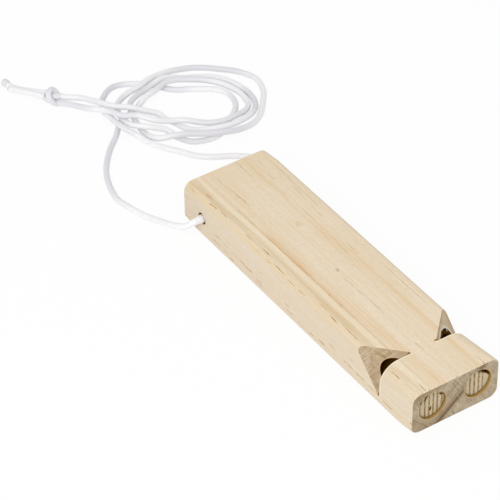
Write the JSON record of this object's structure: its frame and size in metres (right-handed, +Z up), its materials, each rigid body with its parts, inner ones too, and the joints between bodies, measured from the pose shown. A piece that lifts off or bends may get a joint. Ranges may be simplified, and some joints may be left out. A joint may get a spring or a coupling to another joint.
{
  "type": "train whistle",
  "caption": "Pale pine train whistle: a block with plugged bores, sloped sounding notches on its upper edges, and a thin white neck cord knotted through a cross hole at the tail.",
  "frame": {"origin": "middle of the block's bottom face, which lies on the table", "axes": "+X across the block to its right side seen from the mouth, +Y along the block from the mouth end to the tail, +Z up"},
  "size_m": [0.0904, 0.2618, 0.0185],
  "materials": {
    "pine": "sanded, unvarnished",
    "dowel": "sawn end grain, unvarnished",
    "cord": "satin braid"
  },
  "bodies": {
    "root": {"whistle_body": "pine", "left_fipple_plug": "dowel", "right_fipple_plug": "dowel", "cord_in_hole": "cord", "cord_near_run": "cord", "cord_near_coil": "cord", "cord_near_tail": "cord", "cord_near_tip": "cord", "cord_far_run": "cord", "cord_far_coil": "cord", "cord_far_tail": "cord", "cord_far_tip": "cord", "cord_knot": "cord"}
  },
  "joints": []
}
